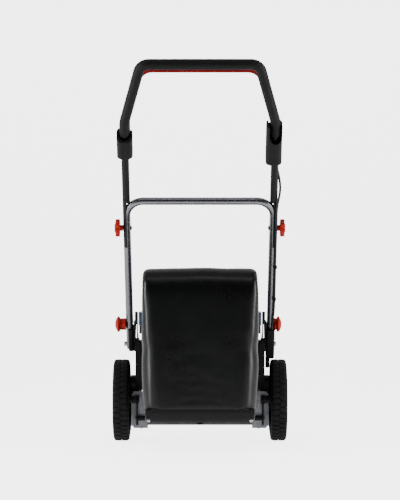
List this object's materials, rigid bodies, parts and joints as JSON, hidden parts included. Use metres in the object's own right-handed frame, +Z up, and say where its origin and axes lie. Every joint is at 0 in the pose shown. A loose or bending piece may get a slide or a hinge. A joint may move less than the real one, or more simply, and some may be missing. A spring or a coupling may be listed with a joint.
{
  "type": "reel mower",
  "caption": "battery reel mower on four wheels with a folding tube handle, red operator bail and a tall black grass catcher hung behind the deck",
  "frame": {"origin": "on the ground under the middle of the machine's bounding box", "axes": "+X to the operator's right, +Y forward in the direction of mowing, +Z up"},
  "size_m": [0.535, 0.9893, 1.1095],
  "materials": {
    "black_steel": "satin",
    "galvanised": "satin",
    "grey_tube": "satin",
    "zinc_bolts": "satin",
    "dark_steel": "satin",
    "blade_steel": "satin",
    "motor_case": "satin",
    "black_plastic": "satin",
    "wheel_plastic": "satin",
    "blue_plastic": "satin",
    "battery_case": "satin",
    "tyre_rubber": "satin",
    "belt_rubber": "satin",
    "soft_grip": "satin",
    "red_plastic": "satin",
    "red_wire": "satin",
    "bag_fabric": "satin"
  },
  "bodies": {
    "chassis": {"side_plate_left": "black_steel", "side_plate_right": "black_steel", "rear_cross_plate": "galvanised", "axle_brackets": "black_steel", "stub_axles": "dark_steel", "deck_plate": "black_steel", "hang_rod": "galvanised", "front_cross_rod": "galvanised", "bedknife_bar": "black_steel", "bedknife": "blade_steel", "motor": "motor_case", "drive_covers": "black_plastic", "drive_belt": "belt_rubber", "lower_cover": "black_plastic", "top_cover": "blue_plastic", "battery": "battery_case", "handle_quadrants": "black_steel", "chassis_fasteners": "zinc_bolts", "catcher_pegs": "black_plastic", "reel_bearings": "blade_steel"},
    "hatch": {"battery_hatch": "blue_plastic"},
    "reel": {"reel_shaft": "blade_steel", "reel_spiders": "black_steel", "reel_blades": "blade_steel", "reel_pulley": "black_plastic"},
    "rotor": {"motor_pulley": "dark_steel"},
    "height_left": {"height_arm_left": "black_steel", "height_grip_left": "black_plastic"},
    "height_right": {"height_arm_right": "black_steel", "height_grip_right": "black_plastic"},
    "wheel_left": {"tyre_left": "tyre_rubber", "rim_left": "wheel_plastic", "hub_cap_left": "wheel_plastic"},
    "wheel_right": {"tyre_right": "tyre_rubber", "rim_right": "wheel_plastic", "hub_cap_right": "wheel_plastic"},
    "handle_lower": {"lower_handle_tube": "grey_tube", "handle_foot_left": "black_plastic", "cable_cover": "black_plastic", "cable_cover_end": "black_plastic", "handle_bolts": "dark_steel", "cable_clips": "black_plastic", "cable": "belt_rubber"},
    "latch_left": {"latch_knob_left": "red_plastic"},
    "latch_right": {"latch_knob_right": "red_plastic"},
    "handle_upper": {"upper_tubes": "black_steel", "grip_tube": "black_steel", "grip_cover": "soft_grip", "left_sleeve": "black_plastic", "switch_housing": "black_plastic"},
    "bail": {"bail": "red_wire"},
    "button": {"switch_button": "red_plastic"},
    "knob_left": {"star_knob_left": "red_plastic"},
    "knob_right": {"star_knob_right": "red_plastic"},
    "catcher": {"catcher_bag": "bag_fabric", "catcher_tray": "black_plastic", "catcher_frame": "dark_steel", "catcher_rivets": "zinc_bolts"},
    "front_left": {"front_wheel_left": "wheel_plastic"},
    "front_right": {"front_wheel_right": "wheel_plastic"}
  },
  "joints": [
    {"name": "left_wheel_roll", "type": "hinge", "parent": "chassis", "child": "wheel_left", "pos_m": [-0.2395, 0.14971, 0.125], "axis": [1, 0, 0], "continuous": true},
    {"name": "right_wheel_roll", "type": "hinge", "parent": "chassis", "child": "wheel_right", "pos_m": [0.2395, 0.14971, 0.125], "axis": [1, 0, 0], "continuous": true},
    {"name": "left_height_lever", "type": "hinge", "parent": "chassis", "child": "height_left", "pos_m": [-0.198, 0.37471, 0.1], "axis": [1, 0, 0], "range_deg": [-24, 0]},
    {"name": "right_height_lever", "type": "hinge", "parent": "chassis", "child": "height_right", "pos_m": [0.198, 0.37471, 0.1], "axis": [1, 0, 0], "range_deg": [-24, 0]},
    {"name": "left_front_wheel_roll", "type": "hinge", "parent": "height_left", "child": "front_left", "pos_m": [-0.239, 0.43471, 0.06], "axis": [1, 0, 0], "continuous": true},
    {"name": "right_front_wheel_roll", "type": "hinge", "parent": "height_right", "child": "front_right", "pos_m": [0.239, 0.43471, 0.06], "axis": [1, 0, 0], "continuous": true},
    {"name": "reel_spin", "type": "hinge", "parent": "chassis", "child": "reel", "pos_m": [0, 0.2897, 0.103], "axis": [1, 0, 0], "continuous": true},
    {"name": "motor_spin", "type": "hinge", "parent": "chassis", "child": "rotor", "pos_m": [0.12, 0.20771, 0.168], "axis": [1, 0, 0], "continuous": true},
    {"name": "hatch_lid", "type": "hinge", "parent": "chassis", "child": "hatch", "pos_m": [0, 0.37471, 0.383], "axis": [1, 0, 0], "range_deg": [-100, 0]},
    {"name": "handle_fold", "type": "hinge", "parent": "chassis", "child": "handle_lower", "pos_m": [0, 0.11971, 0.299], "axis": [1, 0, 0], "range_deg": [-80, 0]},
    {"name": "left_latch_pull", "type": "slide", "parent": "handle_lower", "child": "latch_left", "axis": [-1, 0, 0], "range_m": [0, 0.007], "stiffness_N_per_m": 400, "springref_m": -0.004},
    {"name": "right_latch_pull", "type": "slide", "parent": "handle_lower", "child": "latch_right", "axis": [1, 0, 0], "range_m": [0, 0.007], "stiffness_N_per_m": 400, "springref_m": -0.004},
    {"name": "upper_handle_fold", "type": "hinge", "parent": "handle_lower", "child": "handle_upper", "pos_m": [0, -0.14449, 0.6496], "axis": [1, 0, 0], "range_deg": [-114, 0], "deforming": ["cable"]},
    {"name": "left_star_knob_turn", "type": "hinge", "parent": "handle_lower", "child": "knob_left", "pos_m": [-0.23, -0.14449, 0.6496], "axis": [1, 0, 0], "continuous": true},
    {"name": "right_star_knob_turn", "type": "hinge", "parent": "handle_lower", "child": "knob_right", "pos_m": [0.23, -0.14449, 0.6496], "axis": [1, 0, 0], "continuous": true},
    {"name": "bail_squeeze", "type": "hinge", "parent": "handle_upper", "child": "bail", "pos_m": [0, -0.31267, 0.90602], "axis": [1, 0, 0], "range_deg": [0, 5], "stiffness_Nm_per_rad": 2, "springref_deg": -17.19},
    {"name": "safety_button_press", "type": "slide", "parent": "handle_upper", "child": "button", "axis": [0, -0.7986, -0.6018], "range_m": [0, 0.004], "stiffness_N_per_m": 500, "springref_m": -0.001},
    {"name": "catcher_lift", "type": "hinge", "parent": "chassis", "child": "catcher", "pos_m": [0, 0.09971, 0.268], "axis": [1, 0, 0], "range_deg": [-55, 0]}
  ],
  "couplings": [
    {"joint": "motor_spin", "follows": "reel_spin", "ratio": 2.2857}
  ]
}
